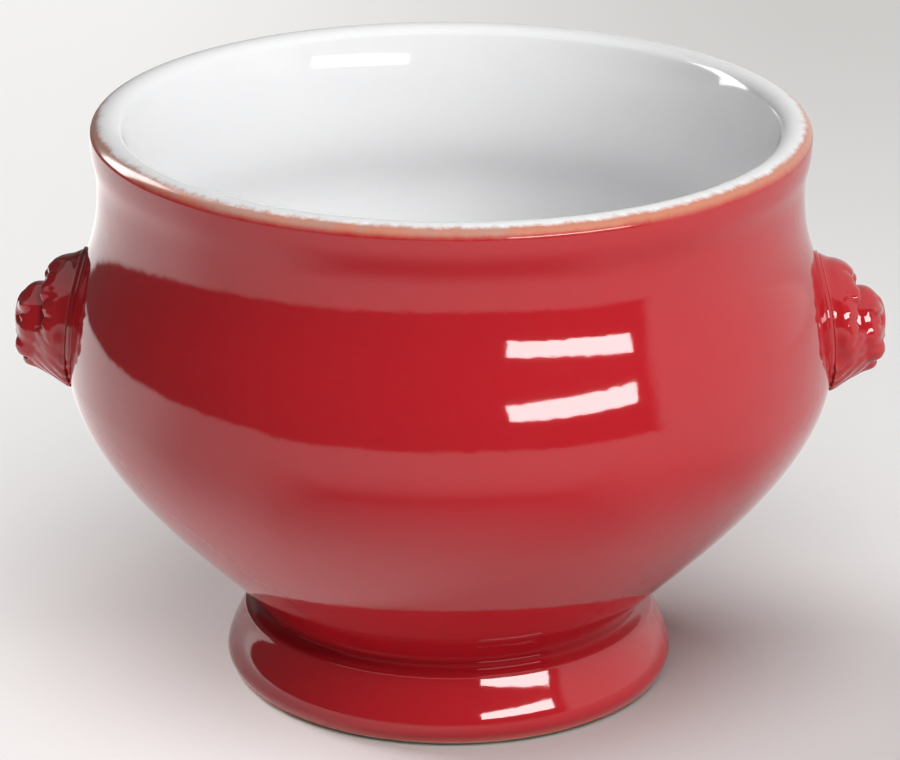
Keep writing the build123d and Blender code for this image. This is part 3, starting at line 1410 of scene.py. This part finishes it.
    def build(self, red: bpy.types.Material) -> None:
        """Makes both heads.

        Args:
            red: Their glaze.
        """
        points, faces, relief = self.model()
        for side in Side:
            where = side.name.lower()
            mesh = bpy.data.meshes.new(f"lion_{where}")
            place = points * MM * np.array([side.value, side.value, 1.0])
            mesh.from_pydata(place.tolist(), [], faces.tolist())
            carry(mesh, "relief", relief)
            mesh.polygons.foreach_set("use_smooth", np.ones(len(faces), bool))
            mesh.materials.append(red)
            wear(add_object(f"lion_{where}", mesh), "red_glazed_relief", f"lion_head_{where}")


class BedTree(GeometryTree):
    """Lays a soft bed of slip on the wall round a head, with a double bead at its edge.

    The rays that find the wall start and reach so many metres. The step and the bead sit at shares of the
    bed's width, and the heights are shares of its thickness.
    """

    CAST_FROM = 0.2
    CAST_REACH = 0.3
    FULL = 1.03
    STEP_DOWN = 0.45
    STEP_AT = (0.94, 0.965)
    BEAD_AT = (0.978, 0.014)
    EDGE_DROP = 1.2
    SUNK = 1.4

    def __init__(self) -> None:
        """Builds the tree."""
        super().__init__("slip_bed")
        wall = self.inlet("Wall", "NodeSocketObject")
        side = self.inlet("Side")
        width, height, level = self.inlet("Half Width"), self.inlet("Half Height"), self.inlet("Level")
        thick, bead = self.inlet("Thickness"), self.inlet("Bead")
        around, rings = self.inlet("Around", "NodeSocketInt"), self.inlet("Rings", "NodeSocketInt")
        grid, turn, share = self.sheet(around, rings)
        angle = turn * (-2.0 * math.pi) * side
        across = share * width * angle.math("COSINE")
        up = level + share * height * angle.math("SINE")
        shared = {"transform_space": "RELATIVE"}
        ray = {
            "Target Geometry": self.node("GeometryNodeObjectInfo", shared, {"Object": wall}, "Geometry"),
            "Source Position": self.joined(side * self.CAST_FROM, across, up),
            "Ray Direction": self.joined(side * -1.0, 0.0, 0.0),
            "Ray Length": self.CAST_REACH,
        }
        cast = self.node("GeometryNodeRaycast", None, ray, "Hit Position")
        lift = thick * (self.FULL - self.STEP_DOWN * share.ramp(*self.STEP_AT))
        lift = lift + bead * share.bump_at(*self.BEAD_AT)
        lift = lift - thick * self.EDGE_DROP * share.ramp(self.BEAD_AT[0], 1.0)
        face = self.laid(grid, self.vector("ADD", cast, self.scaled(cast.other("Hit Normal"), lift)))
        inward = self.scaled(self.node("GeometryNodeInputNormal"), -1.0)
        depth = {"Mesh": face, "Offset": inward, "Offset Scale": thick * self.SUNK, "Individual": False}
        sunk = self.node("GeometryNodeExtrudeMesh", {"mode": "FACES"}, depth)
        back = self.node("GeometryNodeFlipFaces", None, {"Mesh": sunk})
        both = self.node("GeometryNodeJoinGeometry", None, {"Geometry": back})
        self.tree.links.new(face.socket, both.socket.node.inputs[0])
        self.finish(self.smooth(self.weld(both)))


@dataclass
class SlipBed:
    """The slip that holds each head, squeezed out round it as a soft double bead."""

    head: LionHead
    margin: float = 0.4
    thickness: float = 0.6
    bead: float = 0.14
    around: int = 128
    rings: int = 96

    def build(self, wall: bpy.types.Object, red: bpy.types.Material) -> None:
        """Makes both beds.

        Args:
            wall: The red coat that they lie on.
            red: Their glaze.
        """
        tree = BedTree()
        for side in Side:
            where = side.name.lower()
            name = f"slip_bed_{where}"
            values = {
                "Wall": wall,
                "Side": float(side.value),
                "Half Width": (self.head.half_width + self.margin) * MM,
                "Half Height": (self.head.half_height + self.margin) * MM,
                "Level": self.head.anchor()[1] * MM,
                "Thickness": self.thickness * MM,
                "Bead": self.bead * MM,
                "Around": self.around,
                "Rings": self.rings,
                "Finish": red,
            }
            bed = tree.run(add_object(name, bpy.data.meshes.new(name)), values)
            wear(bed, "red_glazed_slip", f"{where}_luting_slip")


@dataclass(frozen=True)
class Lamp:
    """A flat soft light, aimed at the crock, in degrees and metres."""

    name: str
    azimuth: float
    elevation: float
    distance: float
    size: Span
    radiance: float
    lights: bool = True
    shines: bool = True
    only: str = ""
    spares: str = ""

    def build(self, aim: Vector) -> None:
        """Hangs the lamp unseen by the camera, linked to one piece alone or to all but one if it names one.

        Args:
            aim: The point it faces.
        """
        a, e = math.radians(self.azimuth), math.radians(self.elevation)
        away = Vector((math.sin(a) * math.cos(e), -math.cos(a) * math.cos(e), math.sin(e)))
        data = bpy.data.lights.new(self.name, "AREA")
        data.shape = "RECTANGLE"
        data.size, data.size_y = self.size
        data.energy = self.radiance * math.pi * self.size[0] * self.size[1]
        obj = add_object(self.name, data)
        obj.location = aim + away * self.distance
        obj.rotation_euler = away.to_track_quat("Z", "Y").to_euler()
        obj.visible_camera = False
        obj.visible_diffuse = self.lights
        obj.visible_glossy = self.shines
        if self.only or self.spares:
            lit = bpy.data.collections.new(f"{self.name}_lights")
            lit.objects.link(bpy.data.objects[self.only or self.spares])
            lit.collection_objects[0].light_linking.link_state = "INCLUDE" if self.only else "EXCLUDE"
            obj.light_linking.receiver_collection = lit


@dataclass(frozen=True)
class Sheet:
    """A glowing sheet that only reflections see, a painted reflection of light and shade round the crock,
    clear towards its edges, in degrees and metres.
    """

    name: str
    colour: Colour
    near: float
    far: float
    span: Span
    soft: float
    soft_turn: Span = (25.0, 25.0)
    height: float = 0.0
    left_rise: float = 0.0
    rise_from: float = -60.0
    rise_run: float = 60.0
    level: float = 0.0006
    turns: int = 118
    rows: int = 81

    def lay(self) -> tuple[np.ndarray, np.ndarray]:
        """Lays the sheet over the floor from its near edge, and up a wall if it has one.

        Returns:
            Points in rows, and how far each has faded.
        """
        last_row = 1.0 if self.height else 0.0
        turn, run = np.meshgrid(np.linspace(*self.span, self.turns), np.linspace(-1.0, last_row, self.rows))
        height = self.height + self.left_rise * smoothstep((self.rise_from - turn) / self.rise_run)
        reach = np.minimum(self.far + (self.far - self.near) * run, self.far)
        level = self.level + height * np.maximum(run, 0.0)
        a = np.radians(turn)
        points = np.stack([reach * np.sin(a), -reach * np.cos(a), level], -1)
        first, second = (turn - self.span[0]) / self.soft_turn[0], (self.span[1] - turn) / self.soft_turn[1]
        last = height + self.level - level if self.height else self.far - reach
        dark = np.minimum(np.minimum(reach - self.near, last) / self.soft, np.minimum(first, second))
        return points, 1.0 - np.clip(dark, 0.0, 1.0)

    def build(self) -> None:
        """Makes the sheet and stages it."""
        points, fade = self.lay()
        number = np.arange(fade.size).reshape(fade.shape)
        faces = np.stack([number[:-1, :-1], number[:-1, 1:], number[1:, 1:], number[1:, :-1]], -1)
        mesh = bpy.data.meshes.new(self.name)
        mesh.from_pydata(points.reshape(-1, 3).tolist(), [], faces.reshape(-1, 4).tolist())
        carry(mesh, "fade", fade)
        finish = Finish(self.name)
        graph = finish.graph
        clear = graph.node("ShaderNodeBsdfTransparent")
        both = graph.mixed(graph.attribute("fade").ramp(0.0, 1.0), graph.glow((*self.colour, 1.0)), clear)
        mesh.materials.append(finish.end(both))
        obj = add_object(self.name, mesh)
        obj.visible_camera = obj.visible_diffuse = obj.visible_shadow = obj.visible_transmission = False


@dataclass
class Studio:
    """Pale table, soft lights, sheets that only reflections see, and the camera.

    Angles are in degrees and lengths in metres, but the lens and sensor in millimetres.
    """

    aim: Point = (0.0, 0.0, 0.05)
    camera_place: Point = (0.0, -0.700, 0.3089)
    camera_pitch: float = 69.785
    camera_roll: float = 0.293
    lens: float = 175.74
    sensor: float = 36.0
    clip: Span = (0.01, 20.0)
    table: Colour = (0.74, 0.735, 0.73)
    table_dark: Colour = (0.30, 0.29, 0.27)
    table_half: float = 4.0
    table_drop: float = 0.00015
    table_grain: Noise = Noise(900.0, 2.0, 0.5)
    table_fleck: float = 0.02
    table_shade: float = 0.47
    shade_along: Span = (0.05, 0.45)
    shade_across: Span = (-0.10, 0.10)
    shade_away: Span = (0.80, 0.46)
    haze: Span = (0.08, 0.50)
    base_glow: Span = (0.0352, 0.0344)
    world: Colour = (0.90, 0.893, 0.88)
    fill: float = 0.09
    lamps: tuple[Lamp, ...] = (
        Lamp("back_key", -130.0, 47.0, 1.30, (0.45, 0.36), 9.0, lights=False),
        Lamp("front_key", 39.0, 40.0, 1.20, (0.8, 0.8), 8.3, shines=False, spares="table"),
        Lamp("table_key", -120.0, 27.0, 2.20, (1.0, 1.0), 14.0, shines=False, only="table"),
        Lamp("table_fill", 8.0, 57.0, 1.80, (1.6, 1.6), 4.2, shines=False, only="table"),
        Lamp("inner_fill", -80.0, 36.0, 1.00, (0.6, 0.6), 1.6, shines=False, only="bowl_white_liner"),
        Lamp("lip_shine", -123.0, 24.0, 0.50, (0.16, 0.32), 10.0, lights=False, only="bowl_white_liner"),
        Lamp("softbox", 35.0, 10.0, 0.56, (0.37, 0.078), 14.0, lights=False),
    )
    sheets: tuple[Sheet, ...] = (
        Sheet("dark_room", (0.11, 0.10, 0.098), 0.40, 0.62, (-195.0, 62.0), 0.08, (50.0, 5.0), 0.46, 0.55),
        # Painted shadow: a dark sheet on the table in front that only reflections see, in place of the
        # crock's shadow there
        Sheet("dark_floor", (0.22, 0.21, 0.215), 0.030, 0.260, (-55.0, 54.0), 0.140, (36.0, 36.0)),
        Sheet("left_glow", (1.40, 1.38, 1.36), 0.08, 0.46, (-195.0, -70.0), 0.08, level=0.0014),
    )

    def build(self) -> None:
        """Sets up the table, sheets, lights, world and camera."""
        self.build_table()
        for sheet in self.sheets:
            sheet.build()
        for lamp in self.lamps:
            lamp.build(Vector(self.aim))
        self.build_world()
        self.build_camera()
        bpy.context.scene.view_settings.view_transform = "Standard"

    def build_table(self) -> None:
        """Makes the table top and stages it."""
        far = self.table_half
        corners = [(x * far, y * far, -self.table_drop) for x, y in ((-1, -1), (1, -1), (1, 1), (-1, 1))]
        mesh = bpy.data.meshes.new("table")
        mesh.from_pydata(corners, [], [(0, 1, 2, 3)])
        mesh.materials.append(self.table_finish())
        add_object("table", mesh)

    def table_finish(self) -> bpy.types.Material:
        """Makes the table's material: matt near the crock and a pale haze far off.

        Returns:
            The material, clear from below and bright under the foot so that the base is lit.
        """
        finish = Finish("table_top")
        graph = finish.graph
        place = graph.place()
        across, along, _ = graph.split(place)
        away = graph.from_axis(across, along)
        tone = graph.noise(place, self.table_grain) * self.table_fleck
        shade = along.ramp(*self.shade_along) * across.ramp(*self.shade_across)
        shade = shade * away.ramp(*self.shade_away) * self.table_shade
        colour = graph.blend(tone + shade, self.table, self.table_dark)
        top = graph.node("ShaderNodeBsdfDiffuse", None, {"Color": colour})
        haze = graph.glow(graph.blend(shade, self.world, self.table_dark))
        top = graph.mixed(away.ramp(*self.haze) + away.ramp(*self.base_glow), top, haze)
        under = graph.node("ShaderNodeNewGeometry", None, None, "Backfacing")
        return finish.end(graph.mixed(under, top, graph.node("ShaderNodeBsdfTransparent")))

    def build_world(self) -> None:
        """Makes the world: pale to the eye and in reflections, a plain soft fill otherwise."""
        world = bpy.data.worlds.new("studio")
        world.use_nodes = True
        world.node_tree.nodes.clear()
        graph = Graph(world.node_tree)
        rays = graph.node("ShaderNodeLightPath", None, None, "Is Camera Ray")
        seen = rays + rays.other("Is Glossy Ray") + rays.other("Is Transmission Ray")
        pale = graph.node("ShaderNodeBackground", None, {0: (*self.world, 1.0), 1: 1.0})
        soft = graph.node("ShaderNodeBackground", None, {0: (1.0, 1.0, 1.0, 1.0), 1: self.fill})
        both = graph.mixed(seen.math("MINIMUM", 1.0), soft, pale)
        graph.node("ShaderNodeOutputWorld", None, {"Surface": both})
        bpy.context.scene.world = world

    def build_camera(self) -> None:
        """Places the camera at the photograph's viewing angle."""
        data = bpy.data.cameras.new("camera")
        data.lens, data.sensor_width, data.sensor_fit = self.lens, self.sensor, "HORIZONTAL"
        data.clip_start, data.clip_end = self.clip
        pitch = Matrix.Rotation(math.radians(self.camera_pitch), 4, "X")
        roll = Matrix.Rotation(math.radians(self.camera_roll), 4, "Z")
        obj = add_object("camera", data)
        obj.matrix_world = Matrix.Translation(self.camera_place) @ pitch @ roll
        bpy.context.scene.camera = obj


def dress(name: str, finish: bpy.types.Material) -> None:
    """Gives a node of the frame its material.

    Args:
        name: The node's name.
        finish: Its material.
    """
    obj = frame["nodes"][name]
    obj.data.materials.clear()
    obj.data.materials.append(finish)
    LOG.info("%s: kept, new finish", name)


def main() -> None:
    """Builds the crock's pieces in order and then the studio."""
    logging.basicConfig(level=logging.INFO, format="%(name)s: %(message)s")
    red = RedGlaze().build("red_glaze")
    white = WhiteGlaze().build("white_glaze")
    clay = Stoneware().build("bare_stoneware")
    for node in ("bowl_wall", "pedestal_foot", "foot_luting_slip"):
        dress(node, clay)
    profile = CrockProfile()
    tree = TurningTree()
    bowl = Bowl(profile, tree)
    coat = bowl.build_coat(red)
    bowl.build_liner(white)
    Foot(profile, tree).build_coat(red)
    head = LionHead(profile)
    head.build(red)
    SlipBed(head).build(coat, red)
    Studio().build()


if __name__ == "__main__":
    main()
